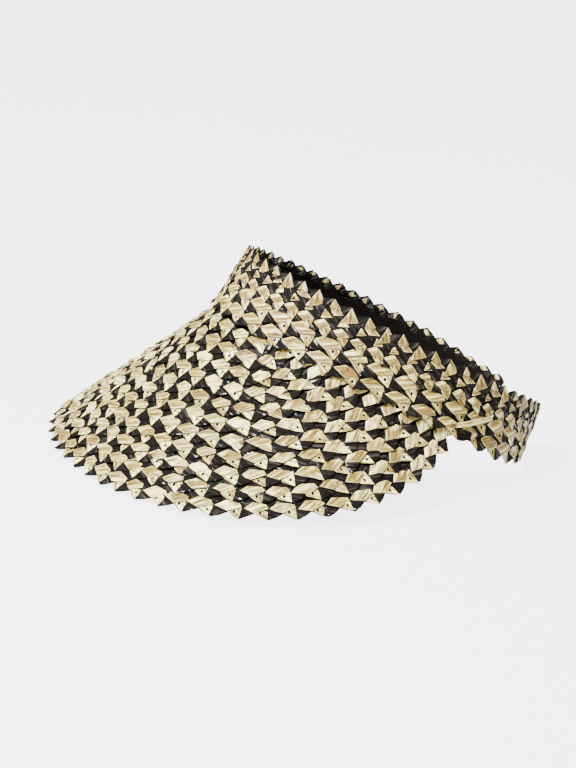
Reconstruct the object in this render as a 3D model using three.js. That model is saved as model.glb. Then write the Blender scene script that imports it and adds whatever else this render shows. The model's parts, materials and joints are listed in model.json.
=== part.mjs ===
// Straw sun visor: a crown band open at the back, and a wide brim that drops from its front.
// Both are lapped plait rows with toothed edges, around a black fabric sweatband.
// Millimetres, +Z up, front towards -Y. It rests on the brim's rim and the rear of the band.
// The visor is drawn about its crown ring, whose top edge lies level, and is tilted at the end.
import * as THREE from 'three';

// Crown ring along the band's top edge: two half ellipses
const RING_HALF_WIDTH = 82.5;
const RING_FRONT = 109.8;
const RING_BACK = 87.8;

// Slopes below the level, in degrees, at the front and at the sides
const BAND_SLOPE_FRONT = 90.5;
const BAND_SLOPE_SIDE = 76.3;
const BRIM_SLOPE_FRONT = 68.7;
const BRIM_SLOPE_SIDE = 45.5;
const BRIM_SLOPE_FADE_START = 90;
const BRIM_SLOPE_FADE_END = 115;

// Lengths measured down the slope
const BAND_LENGTH = 38.9;
const BEND_HALF_LENGTH = 7;
const BRIM_WIDTH = 126.7;
const BRIM_HALF_ANGLE = 94.5;
const BRIM_OUTLINE_POWER = 3.37;

// The band narrows towards its two ends at the back
const TAPER_START = 115;
const TAPER_LENGTH = 50;
const TAPER_TOP = 3;
const TAPER_SHRINK = 0.23;

// Plait
const WALL = 0.9;
const GAP = 0.3;
const BRIM_GAP = 0.4;
const BRIM_ROWS = 11;
const BRIM_ROW_PITCH = 11.1;
const BRIM_ROW_LAP = 6.5;
const BRIM_TOOTH_PITCH = 16.8;
const BRIM_TOOTH_DEPTH = 4.8;
const BRIM_SINK = 1.3;
const BRIM_TUCK_LINE = 36.5;
const MARCH_STEP = 1.11;
const CURVE_SPACING = 2.5;
const NARROWEST_END = 1;
const NEAREST_PATHS = 2.2;

// Crown rows: span down the slope, lift of the lower edge, tooth sizes, and where the row ends
const CROWN_ROWS = [
  { top: 0, bottom: 22.5, lift: 2.2, toothPitch: 11.0, topTooth: 3.5, tooth: 3.5, endAngle: 163 },
  { top: 17, bottom: 33.2, lift: 2.6, toothPitch: 16.0, topTooth: 0, tooth: 4.8, endAngle: 168 },
  { top: 26.4, bottom: 43.4, lift: 3.4, toothPitch: 16.0, topTooth: 0, tooth: 4.8, endAngle: 167 },
];

// Sweatband
const SWEATBAND = { top: 7, bottom: 33.5, wall: 1.0, endAngle: 158, facets: 52 };

// Tilt of the crown ring at rest, front up
const REST_TILT = 26.25;

const STRAW_COLOUR = 0xcfc09a;
const STRAW_ROUGHNESS = 0.55;
const SWEATBAND_COLOUR = 0x15141a;
const SWEATBAND_ROUGHNESS = 0.9;

const rad = THREE.MathUtils.degToRad;
const { clamp, lerp, smoothstep } = THREE.MathUtils;

function ringReach(phi) {
  return Math.cos(phi) > 0 ? RING_FRONT : RING_BACK;
}

function ringOutward(phi) {
  const along = new THREE.Vector3(RING_HALF_WIDTH * Math.cos(phi), ringReach(phi) * Math.sin(phi), 0);
  return new THREE.Vector3(along.y, -along.x, 0).normalize();
}

function bandSlope(phi) {
  return rad(lerp(BAND_SLOPE_FRONT, BAND_SLOPE_SIDE, Math.sin(phi) ** 2));
}

function brimSlope(phi) {
  const slope = rad(lerp(BRIM_SLOPE_FRONT, BRIM_SLOPE_SIDE, Math.sin(phi) ** 2));
  const span = BRIM_SLOPE_FADE_END - BRIM_SLOPE_FADE_START;
  const fade = clamp((Math.abs(phi) / rad(1) - BRIM_SLOPE_FADE_START) / span, 0, 1);
  return lerp(slope, bandSlope(phi), fade);
}

// Section down the slope at one angle: straight band, short circular bend, straight brim
function sectionAt(phi, down) {
  const upper = bandSlope(phi);
  const lower = brimSlope(phi);
  const bendStart = BAND_LENGTH - BEND_HALF_LENGTH;
  const straight = Math.min(down, bendStart);
  const bend = clamp(down - bendStart, 0, 2 * BEND_HALF_LENGTH);
  const beyond = Math.max(down - bendStart - 2 * BEND_HALF_LENGTH, 0);
  let out = straight * Math.cos(upper) + beyond * Math.cos(lower);
  let drop = straight * Math.sin(upper) + beyond * Math.sin(lower);
  const turn = (lower - upper) / (2 * BEND_HALF_LENGTH);
  if (Math.abs(turn) > 1e-6) {
    out += (Math.sin(upper + turn * bend) - Math.sin(upper)) / turn;
    drop += (Math.cos(upper) - Math.cos(upper + turn * bend)) / turn;
  } else {
    out += bend * Math.cos(upper);
    drop += bend * Math.sin(upper);
  }
  return { out, drop };
}

function surfacePoint(phi, down) {
  const { out, drop } = sectionAt(phi, down);
  const point = new THREE.Vector3(RING_HALF_WIDTH * Math.sin(phi), -ringReach(phi) * Math.cos(phi), -drop);
  return point.addScaledVector(ringOutward(phi), out);
}

function surfaceFrame(phi, down) {
  const turn = 1e-3;
  const slip = 0.05;
  const perAngle = surfacePoint(phi + turn, down).sub(surfacePoint(phi - turn, down)).divideScalar(2 * turn);
  const perDown = surfacePoint(phi, down + slip).sub(surfacePoint(phi, down - slip)).divideScalar(2 * slip);
  const outward = new THREE.Vector3().crossVectors(perDown, perAngle).normalize();
  return { perAngle, perDown, outward };
}

function offsetPoint(phi, down, height) {
  const { outward } = surfaceFrame(phi, down);
  return surfacePoint(phi, down).addScaledVector(outward, height);
}

// Closed strip. Each station is a list of places across the strip: angle, distance down, height.
function stripMesh(name, stations, wall, colour, roughness) {
  const across = stations[0].length;
  const ring = 2 * across;
  const positions = [];
  for (const station of stations) {
    for (const place of station) {
      positions.push(...offsetPoint(place.phi, place.down, place.height + wall).toArray());
    }
    for (const place of [...station].reverse()) {
      positions.push(...offsetPoint(place.phi, place.down, place.height).toArray());
    }
  }
  const index = [];
  const quad = (a, b, c, d) => index.push(a, b, c, a, c, d);
  for (let i = 0; i + 1 < stations.length; i += 1) {
    for (let j = 0; j < ring; j += 1) {
      const next = (j + 1) % ring;
      quad(i * ring + j, i * ring + next, (i + 1) * ring + next, (i + 1) * ring + j);
    }
  }
  const last = (stations.length - 1) * ring;
  for (let j = 0; j + 1 < across; j += 1) {
    quad(j, ring - 1 - j, ring - 2 - j, j + 1);
    quad(last + j, last + j + 1, last + ring - 2 - j, last + ring - 1 - j);
  }
  const geometry = new THREE.BufferGeometry();
  geometry.setAttribute('position', new THREE.Float32BufferAttribute(positions, 3));
  geometry.setIndex(index);
  const material = new THREE.MeshStandardMaterial({ color: colour, roughness, metalness: 0 });
  const mesh = new THREE.Mesh(geometry, material);
  mesh.name = name;
  return mesh;
}

// Place of a target length among running lengths: the segment's upper index and the share along it
function findLength(lengths, target) {
  const found = lengths.findIndex((length) => length >= target);
  const i = found < 0 ? lengths.length - 1 : Math.max(found, 1);
  return { i, part: clamp((target - lengths[i - 1]) / (lengths[i] - lengths[i - 1]), 0, 1) };
}

// Angles evenly spaced along the ring from one end angle to the other
function evenAngles(endAngle, count) {
  const fine = 720;
  const lengths = [0];
  const angles = [];
  for (let i = 0; i <= fine; i += 1) {
    angles.push(lerp(-rad(endAngle), rad(endAngle), i / fine));
    if (i > 0) {
      const step = surfacePoint(angles[i], 20).distanceTo(surfacePoint(angles[i - 1], 20));
      lengths.push(lengths[i - 1] + step);
    }
  }
  const even = [];
  for (let k = 0; k < count; k += 1) {
    const { i, part } = findLength(lengths, (lengths[fine] * k) / (count - 1));
    even.push(lerp(angles[i - 1], angles[i], part));
  }
  return even;
}

function ringLength(endAngle) {
  let length = 0;
  for (let i = 0; i < 720; i += 1) {
    const a = lerp(-rad(endAngle), rad(endAngle), i / 720);
    const b = lerp(-rad(endAngle), rad(endAngle), (i + 1) / 720);
    length += surfacePoint(a, 20).distanceTo(surfacePoint(b, 20));
  }
  return length;
}

function tapered(phi, down) {
  const amount = smoothstep(Math.abs(phi), rad(TAPER_START), rad(TAPER_START + TAPER_LENGTH));
  return TAPER_TOP * amount + down * (1 - TAPER_SHRINK * amount);
}

function crownRow(row, number) {
  const teeth = Math.round(ringLength(row.endAngle) / row.toothPitch);
  const angles = evenAngles(row.endAngle, 2 * teeth + 1);
  const stations = angles.map((phi, i) => {
    const notch = i % 2;
    const top = row.top + (1 - notch) * row.topTooth;
    const bottom = row.bottom - (1 - notch) * row.tooth;
    return [top, lerp(top, bottom, 0.55), bottom].map((down) => ({
      phi,
      down: tapered(phi, down),
      height: (row.lift * (down - row.top)) / (row.bottom - row.top),
    }));
  });
  return stripMesh(`crown_row_${number}`, stations, WALL, STRAW_COLOUR, STRAW_ROUGHNESS);
}

function sweatband() {
  const angles = evenAngles(SWEATBAND.endAngle, SWEATBAND.facets);
  const stations = angles.map((phi) =>
    [SWEATBAND.top, SWEATBAND.bottom].map((down) => ({
      phi,
      down: tapered(phi, down),
      height: -GAP - SWEATBAND.wall,
    }))
  );
  return stripMesh('sweatband', stations, SWEATBAND.wall, SWEATBAND_COLOUR, SWEATBAND_ROUGHNESS);
}

function brimOutline(phi) {
  const share = Math.abs(phi) / rad(BRIM_HALF_ANGLE);
  return BAND_LENGTH + BRIM_WIDTH * (1 - share ** BRIM_OUTLINE_POWER);
}

function placePoint(place) {
  return surfacePoint(place.phi, place.down);
}

function between(a, b, part) {
  return { phi: lerp(a.phi, b.phi, part), down: lerp(a.down, b.down, part) };
}

// Even respacing of a curve that lies on the surface
function respaced(curve, count) {
  const lengths = [0];
  for (let i = 1; i < curve.length; i += 1) {
    lengths.push(lengths[i - 1] + placePoint(curve[i]).distanceTo(placePoint(curve[i - 1])));
  }
  const total = lengths[lengths.length - 1];
  const even = [];
  for (let k = 0; k < count; k += 1) {
    const { i, part } = findLength(lengths, (total * k) / (count - 1));
    even.push(between(curve[i - 1], curve[i], part));
  }
  return even;
}

function curveLength(curve) {
  let length = 0;
  for (let i = 1; i < curve.length; i += 1) {
    length += placePoint(curve[i]).distanceTo(placePoint(curve[i - 1]));
  }
  return length;
}

// Moves every place of a curve over the surface towards the crown, square to the curve
function movedInward(curve, distance) {
  return curve.map((place, i) => {
    const before = curve[Math.max(i - 1, 0)];
    const after = curve[Math.min(i + 1, curve.length - 1)];
    const along = placePoint(after).sub(placePoint(before)).normalize();
    const { perAngle, perDown, outward } = surfaceFrame(place.phi, place.down);
    const inward = new THREE.Vector3().crossVectors(outward, along).normalize();
    const aa = perAngle.dot(perAngle);
    const ad = perAngle.dot(perDown);
    const dd = perDown.dot(perDown);
    const a = inward.dot(perAngle);
    const d = inward.dot(perDown);
    const scale = distance / (aa * dd - ad * ad);
    return {
      phi: place.phi + scale * (dd * a - ad * d),
      down: place.down + scale * (aa * d - ad * a),
    };
  });
}

// Cuts a curve where it rises above the tuck line under the last crown row
function clipped(curve) {
  const first = curve.findIndex((place) => place.down >= BRIM_TUCK_LINE);
  const last = curve.length - 1 - [...curve].reverse().findIndex((place) => place.down >= BRIM_TUCK_LINE);
  const kept = curve.slice(first, last + 1);
  if (first > 0) {
    const part = (BRIM_TUCK_LINE - curve[first - 1].down) / (curve[first].down - curve[first - 1].down);
    kept.unshift(between(curve[first - 1], curve[first], part));
  }
  if (last < curve.length - 1) {
    const part = (BRIM_TUCK_LINE - curve[last].down) / (curve[last + 1].down - curve[last].down);
    kept.push(between(curve[last], curve[last + 1], part));
  }
  return kept;
}

function rimCurve() {
  const reach = rad(BRIM_HALF_ANGLE + 1.5);
  const curve = [];
  for (let i = 0; i <= 400; i += 1) {
    const phi = lerp(-reach, reach, i / 400);
    curve.push({ phi, down: brimOutline(phi) });
  }
  return clipped(curve);
}

function parallelCurve(curve, distance) {
  const steps = Math.round(distance / MARCH_STEP);
  let moved = curve;
  for (let i = 0; i < steps; i += 1) {
    moved = clipped(movedInward(moved, distance / steps));
    moved = respaced(moved, Math.max(Math.round(curveLength(moved) / CURVE_SPACING), 12));
  }
  return moved;
}

// A row from its lower edge. A path across it at each station stops at the tuck line, or where it
// would run into its neighbour's path, so the row narrows towards its ends.
function brimRow(lowerEdge, number) {
  const width = BRIM_ROW_PITCH + BRIM_ROW_LAP;
  const lift = ((WALL + BRIM_GAP) * width) / BRIM_ROW_PITCH;
  const teeth = Math.round(curveLength(lowerEdge) / BRIM_TOOTH_PITCH);
  const steps = 16;
  const paths = [respaced(lowerEdge, 2 * teeth + 1)];
  for (let k = 0; k < steps; k += 1) {
    paths.push(movedInward(paths[k], width / steps));
  }
  const across = paths[0].map((place, i) => paths.map((line) => line[i]));
  const stations = across.map((path, i) => {
    const neighbour = across[i < teeth ? i + 1 : i - 1].map(placePoint);
    const clearance = (step) => Math.min(...neighbour.map((point) => point.distanceTo(placePoint(step))));
    const stop = path.findIndex((step) => step.down < BRIM_TUCK_LINE || clearance(step) < NEAREST_PATHS);
    const room = stop < 0 ? width : (stop * width) / steps;
    const start = clamp(room - NARROWEST_END, 0, i % 2 ? 0 : BRIM_TOOTH_DEPTH);
    const reach = Math.max(room, start + NARROWEST_END);
    const at = (distance) => {
      const step = clamp((distance * steps) / width, 0, steps - 1e-6);
      const k = Math.floor(step);
      const height = lift * (1 - distance / width) - BRIM_SINK;
      return { ...between(path[k], path[k + 1], step - k), height };
    };
    return [reach, lerp(start, reach, 0.5), start].map(at);
  });
  return stripMesh(`brim_row_${number}`, stations, WALL, STRAW_COLOUR, STRAW_ROUGHNESS);
}

function brimRows() {
  const rows = [];
  let edge = rimCurve();
  for (let number = BRIM_ROWS; number > 0; number -= 1) {
    rows.push(brimRow(edge, number));
    edge = parallelCurve(edge, BRIM_ROW_PITCH);
  }
  return rows.reverse();
}

const visor = new THREE.Group();
visor.name = 'straw_visor';
CROWN_ROWS.forEach((row, i) => visor.add(crownRow(row, i + 1)));
brimRows().forEach((row) => visor.add(row));
visor.add(sweatband());

// Tilts the visor to its rest, sets it on the floor and centres it
const bounds = new THREE.Box3();
visor.children.forEach((mesh) => {
  mesh.geometry.rotateX(-rad(REST_TILT));
  mesh.geometry.computeBoundingBox();
  bounds.union(mesh.geometry.boundingBox);
});
const centre = bounds.getCenter(new THREE.Vector3());
visor.children.forEach((mesh) => {
  mesh.geometry.translate(-centre.x, -centre.y, -bounds.min.z);
});

export default visor;
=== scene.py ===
"""Straw visor: the looks of the plaited straw, the sweatband and the stage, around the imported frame.

Every plait row is laid by Geometry Nodes: a unit of a few straw plates is repeated in a line, and the line
is then bent onto the row's guide, which follows the same surface as the row's solid.
Lengths are in millimetres in the tables and in the guides' working, and metres in the meshes.
"""

import json
import math
from collections import namedtuple

import bpy
import numpy as np
from bpy.props import FloatProperty, FloatVectorProperty, IntProperty, PointerProperty
from mathutils import Matrix, Vector

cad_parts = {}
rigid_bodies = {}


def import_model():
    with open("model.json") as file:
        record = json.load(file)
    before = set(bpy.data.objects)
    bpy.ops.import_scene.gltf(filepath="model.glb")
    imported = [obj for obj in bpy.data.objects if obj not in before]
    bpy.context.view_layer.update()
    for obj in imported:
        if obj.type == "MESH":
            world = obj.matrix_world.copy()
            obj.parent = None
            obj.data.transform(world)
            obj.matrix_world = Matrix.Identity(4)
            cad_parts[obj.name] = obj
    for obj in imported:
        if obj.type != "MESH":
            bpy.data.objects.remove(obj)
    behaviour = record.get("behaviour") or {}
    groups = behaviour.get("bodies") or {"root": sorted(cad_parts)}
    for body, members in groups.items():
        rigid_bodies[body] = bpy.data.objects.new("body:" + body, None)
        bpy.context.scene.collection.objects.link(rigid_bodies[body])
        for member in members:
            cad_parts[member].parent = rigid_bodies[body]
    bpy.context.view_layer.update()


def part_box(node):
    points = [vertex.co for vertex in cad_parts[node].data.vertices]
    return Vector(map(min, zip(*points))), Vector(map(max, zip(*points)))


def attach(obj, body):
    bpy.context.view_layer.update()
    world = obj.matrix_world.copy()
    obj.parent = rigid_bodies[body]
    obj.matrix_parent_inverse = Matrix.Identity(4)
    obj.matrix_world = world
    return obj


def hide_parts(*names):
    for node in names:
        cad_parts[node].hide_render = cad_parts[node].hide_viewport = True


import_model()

bl_info = {
    "name": "Straw Visor",
    "version": (1, 0, 0),
    "blender": (4, 5, 0),
    "location": "View3D > Sidebar > Visor",
    "description": "Dresses a straw sun visor with plaited rows, a sweatband and a studio",
    "category": "Object",
}

MM = 0.001

# Crown ring along the band's top edge: two half ellipses
RING_HALF_WIDTH = 82.5
RING_FRONT = 109.8
RING_BACK = 87.8

# Slopes below the level, in degrees, at the front and at the sides
BAND_SLOPE_FRONT = 90.5
BAND_SLOPE_SIDE = 76.3
BRIM_SLOPE_FRONT = 68.7
BRIM_SLOPE_SIDE = 45.5
BRIM_SLOPE_FADE_START = 90
BRIM_SLOPE_FADE_END = 115

# Lengths measured down the slope
BAND_LENGTH = 38.9
BEND_HALF_LENGTH = 7
BRIM_WIDTH = 126.7
BRIM_HALF_ANGLE = 94.5
BRIM_OUTLINE_POWER = 3.37

# How closely the band's length is measured, and at what distance down
FINE_STATIONS = 721
MEASURE_LINE = 20

# The band narrows towards its two ends at the back
TAPER_START = 115
TAPER_LENGTH = 50
TAPER_TOP = 3
TAPER_SHRINK = 0.23

# Tilt of the crown ring at rest, front up
REST_TILT = 26.25

# Plait rows of the brim
LAYER = 1.3
BRIM_ROWS = 11
BRIM_ROW_PITCH = 11.1
BRIM_ROW_LAP = 6.5
BRIM_TOOTH_PITCH = 16.8
BRIM_SINK = 1.3
BRIM_TUCK_LINE = 36.5
BRIM_TRIM_LINE = 35.0
BRIM_ROW_WIDTH = BRIM_ROW_PITCH + BRIM_ROW_LAP
MARCH_STEP = 1.11
CURVE_SPACING = 2.5
LEAST_STATIONS = 12
ACROSS_STEPS = 8
TUCK_STATIONS = 41
RIM_STATIONS = 401
RIM_OVERREACH = 1.5
GUIDE_STEPS_PER_TOOTH = 4

# Black backing of the rows, its rib and the seam under the crown
BACKING = 0.3
BACKING_INSET = 0.9
LEAST_BACKING = 0.06
STRIP_TONE = 0.1
STRIP_STRAND = 3.0
RIB_WIDTH = 0.11
RIB_HEIGHT = 0.95
SEAM_ANGLE = 96
SEAM_TOP = 35.3
SEAM_BOTTOM = 37.3
SEAM_DEPTH = 2.9

CrownRow = namedtuple("CrownRow", "top bottom lift tooth_pitch top_tooth tooth end_angle")
CROWN_ROWS = (
    CrownRow(top=0, bottom=22.5, lift=2.2, tooth_pitch=11.0, top_tooth=3.5, tooth=3.5, end_angle=163),
    CrownRow(top=17, bottom=33.2, lift=2.6, tooth_pitch=16.0, top_tooth=0, tooth=4.8, end_angle=168),
    CrownRow(top=26.4, bottom=43.4, lift=3.4, tooth_pitch=16.0, top_tooth=0, tooth=4.8, end_angle=167),
)

# Straws that lie loose over the near arm: angles, distances down, half width and height over the surface
LooseStrand = namedtuple("LooseStrand", "start_angle start_down end_angle end_down half_width height dyed")
LOOSE_STRANDS = (
    LooseStrand(93.5, 37.5, 99.0, 36.5, 3.0, 4.4, True),
    LooseStrand(92.0, 33.5, 105.5, 20.5, 1.8, 4.6, False),
)
LOOSE_STATIONS = 9
LOOSE_ARCH = 0.5

# Sweatband
SWEATBAND_TOP = 7
SWEATBAND_BOTTOM = 33.5
SWEATBAND_WALL = 1.0
SWEATBAND_GAP = 0.3
SWEATBAND_END_ANGLE = 158
SWEATBAND_FACETS = 52
SWEATBAND_ACROSS = 9

# Units of straw plates
STRAW_THICKNESS = 0.2
GUIDE_LIFT = 0.5
TOOTH_UNIT_PITCH = 16.0
TOOTH_DEPTH = 4.8
TOP_UNIT_PITCH = 11.0
UNIT_KINDS = 4
PLATES_PER_TOOTH = 32.0
LONG_SIDE = 3.5
UNDER_SINK = 0.3
SEED_STEP = 40
BRIM_SEED = 600
CROWN_SHADE = 0.6
UNIT_SEEDS = {"unit_top": 5, "unit_crown": 6, "unit_brim": 7}

# How far a plate's corners and hole may move, and how large holes are, where the least are left out
CORNER_SLIP = 0.25
HOLE_SLIP = (0.09, 0.12)
HOLE_SIZES = (0.5, 1.2)
LEAST_HOLE = 0.75

# Least and most of the plates' stretch and slip, and their drift along a row, each in x, y and z
STRETCH = ((0.95, 0.94, 0.75), (1.06, 1.05, 1.25))
SLIP = ((-1.0, -0.8, -0.05), (1.0, 0.8, 0.15))
LEAN = ((-1.0, -1.0, 0.0), (1.0, 1.0, 0.0))
DRIFT = (4.0, 0.9, 0.0)
WANDER_LENGTH = 34.0

# Cloth of the sweatband
RIB_PITCH = 0.9
THREAD_PITCH = 0.45

# How far the noise of one strand lies from another's
STRAND_SHIFT = 73.0

# Stage: half the floor's side in metres, how much less it shows of light and shadow, and its darker grain
FLOOR_HALF = 6.0
FLOOR_FADE = 0.8
FLOOR_GRAIN = 0.985
SENSOR_WIDTH = 36
CLIP_END = 50
Light = namedtuple("Light", "name turn elevation distance size")
KEY_LIGHT = Light("key", turn=-42, elevation=57, distance=1.6, size=0.6)
FILL_LIGHT = Light("fill", turn=50, elevation=35, distance=2.0, size=1.4)

# Rings of a plate, border to middle: shares of the way out and of the rise, and nearness to the border
PLATE_RINGS = ((1.0, 0.0, 1.0), (0.82, 0.55, 0.5), (0.45, 0.9, 0.15))
UNDER_RINGS = ((1.0, 0.0, 1.0),)
HOLE_RING = (0.0, 0.7, 0.9)

# A straw plate: its corners in order, x along the row and y up from the lower tips, the height of its border,
# the rise of its middle, the direction of its fibres in degrees, the bow of its sides and its hole, as x, y,
# half width and half height, and how much darker than its neighbours it tends to be
Plate = namedtuple("Plate", "corners base rise grain dyed bow hole shade")


def plate(corners, base, rise, grain, dyed=False, bow=0.05, hole=None, shade=0.0):
    return Plate(corners, base, rise, grain, dyed, bow, hole, shade)


# One tooth of a brim row or a lower crown row
TOOTH_PLATES = (
    plate(((5.4, 14.6), (12.4, 17.4), (20.4, 13.2), (15.2, 9.0)), 0.0, 0.5, -25, dyed=True),
    plate(((0.1, 0.6), (0.1, 9.4), (8.0, 7.2), (8.4, 5.0)), 0.1, 0.5, -25, dyed=True),
    plate(
        ((8.3, 5.0), (8.5, 7.0), (15.8, 11.0), (15.8, 0.7)), 0.1, 0.35, -38,
        bow=0.02, hole=(12.8, 5.6, 0.65, 1.0), shade=-0.3,
    ),
    plate(((0.0, 8.1), (5.6, 13.5), (14.7, 11.9), (16.4, 8.9), (8.2, 4.9)), 0.5, 1.1, 30, bow=0.0),
)

UNDER_PLATES = (
    plate(((0.15, 0.3), (0.15, 9.2), (7.9, 6.6), (8.3, 4.9)), 0.0, 0.1, -25, dyed=True),
    plate(((7.9, 4.9), (8.1, 6.6), (15.9, 11.0), (15.85, 0.15)), 0.02, 0.1, -38),
    plate(((0.5, 8.9), (7.2, 11.3), (16.1, 10.4), (8.4, 5.5)), 0.05, 0.1, 36),
)

# One tooth of the top row, wide and narrow by turns, and its inner face
LOWER_TOP_PLATES = (
    plate(((4.6, 8.8), (8.2, 11.6), (14.0, 8.6), (10.6, 5.6)), 0.0, 0.35, -25, dyed=True),
    plate(((0.1, 0.3), (0.1, 5.6), (5.4, 4.1), (5.6, 2.5)), 0.1, 0.4, -25, dyed=True),
    plate(
        ((5.2, 2.6), (5.4, 3.9), (10.9, 6.6), (10.9, 0.2)), 0.1, 0.35, -38,
        hole=(8.8, 3.4, 0.4, 0.55), shade=-0.2,
    ),
    plate(((0.4, 5.3), (4.7, 9.2), (10.1, 7.2), (10.8, 5.9), (5.6, 3.1)), 0.4, 0.6, 36, bow=0.02, shade=0.15),
)
DYED_MIDDLE = plate(((4.8, 14.4), (10.2, 18.4), (14.2, 13.4), (8.8, 9.0)), 0.0, 0.4, -35, dyed=True)

WIDE_PLATES = (
    plate(((-2.6, 18.8), (4.2, 22.3), (4.0, 17.0), (-1.2, 14.4)), 0.1, 0.4, 60, dyed=True),
    plate(((3.4, 10.6), (4.55, 22.5), (12.6, 16.9)), 0.4, 0.5, -55, bow=0.01),
    DYED_MIDDLE,
    plate(((2.7, 8.6), (2.9, 13.9), (8.8, 11.4)), 0.25, 0.4, 20, bow=0.01, shade=0.15),
    *LOWER_TOP_PLATES,
)

NARROW_PLATES = (
    plate(((-2.6, 18.8), (4.2, 22.0), (4.0, 17.0), (-1.2, 14.4)), 0.1, 0.4, 60, dyed=True),
    plate(((3.9, 16.6), (4.55, 22.4), (10.6, 18.2), (9.8, 17.5)), 0.5, 0.4, -45, bow=0.01),
    plate(((4.1, 16.5), (9.7, 18.2), (14.0, 15.8), (8.2, 13.2)), 0.3, 0.45, -30, bow=0.01, shade=0.4),
    plate(((4.0, 10.4), (4.1, 16.4), (8.6, 13.4), (7.4, 12.2)), 0.1, 0.35, -45, dyed=True),
    DYED_MIDDLE,
    plate(((2.4, 9.0), (2.6, 14.6), (8.4, 12.2)), 0.25, 0.4, 20, bow=0.01, shade=0.1),
    *LOWER_TOP_PLATES,
)

INNER_TOOTH_PLATES = (
    plate(((-2.6, 3.7), (4.2, 0.4), (4.0, 6.0), (-1.2, 8.1)), 0.0, 0.1, 60, dyed=True),
    plate(((4.4, 3.4), (8.3, 2.6), (12.0, 6.4), (5.2, 9.2)), 0.0, 0.12, -55, dyed=True),
    plate(((1.3, 3.2), (4.55, 0.2), (8.6, 3.2), (5.0, 5.2)), 0.06, 0.14, -55, shade=0.35),
)


def smoothstep(value, low, high):
    share = np.clip((value - low) / (high - low), 0, 1)
    return share * share * (3 - 2 * share)


def lerp(a, b, share):
    return a + (b - a) * share


def normalised(vectors):
    return vectors / np.linalg.norm(vectors, axis=-1, keepdims=True)


def ring_reach(phi):
    return np.where(np.cos(phi) > 0, RING_FRONT, RING_BACK)


def band_slope(phi):
    return np.radians(lerp(BAND_SLOPE_FRONT, BAND_SLOPE_SIDE, np.sin(phi) ** 2))


def brim_slope(phi):
    slope = np.radians(lerp(BRIM_SLOPE_FRONT, BRIM_SLOPE_SIDE, np.sin(phi) ** 2))
    span = BRIM_SLOPE_FADE_END - BRIM_SLOPE_FADE_START
    fade = np.clip((np.degrees(np.abs(phi)) - BRIM_SLOPE_FADE_START) / span, 0, 1)
    return lerp(slope, band_slope(phi), fade)


def surface_point(phi, down):
    """Points of the visor's surface about the crown ring: straight band, circular bend, straight brim."""
    phi, down = np.broadcast_arrays(np.asarray(phi, float), np.asarray(down, float))
    upper, lower = band_slope(phi), brim_slope(phi)
    bend_start = BAND_LENGTH - BEND_HALF_LENGTH
    straight = np.minimum(down, bend_start)
    bend = np.clip(down - bend_start, 0, 2 * BEND_HALF_LENGTH)
    beyond = np.maximum(down - bend_start - 2 * BEND_HALF_LENGTH, 0)
    turn = (lower - upper) / (2 * BEND_HALF_LENGTH)
    turn = np.where(np.abs(turn) < 1e-6, 1e-6, turn)
    end = upper + turn * bend
    out = straight * np.cos(upper) + beyond * np.cos(lower) + (np.sin(end) - np.sin(upper)) / turn
    drop = straight * np.sin(upper) + beyond * np.sin(lower) + (np.cos(upper) - np.cos(end)) / turn
    reach = ring_reach(phi)
    outward = normalised(np.stack([reach * np.sin(phi), -RING_HALF_WIDTH * np.cos(phi)], -1))
    x = RING_HALF_WIDTH * np.sin(phi) + outward[..., 0] * out
    y = -reach * np.cos(phi) + outward[..., 1] * out
    return np.stack([x, y, -drop], -1)


def surface_frame(phi, down):
    turn, slip = 1e-3, 0.05
    per_angle = (surface_point(phi + turn, down) - surface_point(phi - turn, down)) / (2 * turn)
    per_down = (surface_point(phi, down + slip) - surface_point(phi, down - slip)) / (2 * slip)
    return per_angle, per_down, normalised(np.cross(per_down, per_angle))


def raised_point(phi, down, height):
    return surface_point(phi, down) + surface_frame(phi, down)[2] * np.asarray(height)[..., None]


def tapered(phi, down):
    amount = smoothstep(np.degrees(np.abs(phi)), TAPER_START, TAPER_START + TAPER_LENGTH)
    return TAPER_TOP * amount + down * (1 - TAPER_SHRINK * amount)


def running_length(points):
    return np.concatenate([[0], np.cumsum(np.linalg.norm(np.diff(points, axis=0), axis=1))])


def fine_angles(end_angle):
    """Close angles round the band, and how far along it each lies."""
    fine = np.radians(np.linspace(-end_angle, end_angle, FINE_STATIONS))
    return fine, running_length(surface_point(fine, MEASURE_LINE))


def even_angles(end_angle, count):
    fine, length = fine_angles(end_angle)
    return np.interp(np.linspace(0, length[-1], count), length, fine)


def tilted(points):
    tilt = math.radians(REST_TILT)
    x, y, z = np.moveaxis(points, -1, 0)
    return np.stack([x, y * math.cos(tilt) + z * math.sin(tilt), z * math.cos(tilt) - y * math.sin(tilt)], -1)


def sweatband_stations(phi):
    """Outer and inner places of the sweatband's solid at its top and bottom."""
    down = tapered(phi, np.array([[SWEATBAND_TOP], [SWEATBAND_BOTTOM]]))
    inner = raised_point(phi, down, np.full(down.shape, -SWEATBAND_GAP - SWEATBAND_WALL))
    outer = raised_point(phi, down, np.full(down.shape, -SWEATBAND_GAP))
    return np.concatenate([inner, outer])


def rest_shift():
    """Where the crown ring's centre lies at rest, found from the sweatband's place in the frame."""
    corners = tilted(sweatband_stations(even_angles(SWEATBAND_END_ANGLE, SWEATBAND_FACETS))).reshape(-1, 3)
    return np.array(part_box("sweatband")[0]) / MM - corners.min(0)


REST_SHIFT = rest_shift()


def placed(points):
    """Points about the crown ring, in millimetres, as points of the resting visor in metres."""
    return (tilted(points) + REST_SHIFT) * MM


# Curves over the surface, as rows of angle and distance down


def curve_points(curve):
    return surface_point(curve[:, 0], curve[:, 1])


def respaced(curve, count):
    length = running_length(curve_points(curve))
    targets = np.linspace(0, length[-1], count)
    return np.stack([np.interp(targets, length, curve[:, i]) for i in range(2)], -1)


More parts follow.
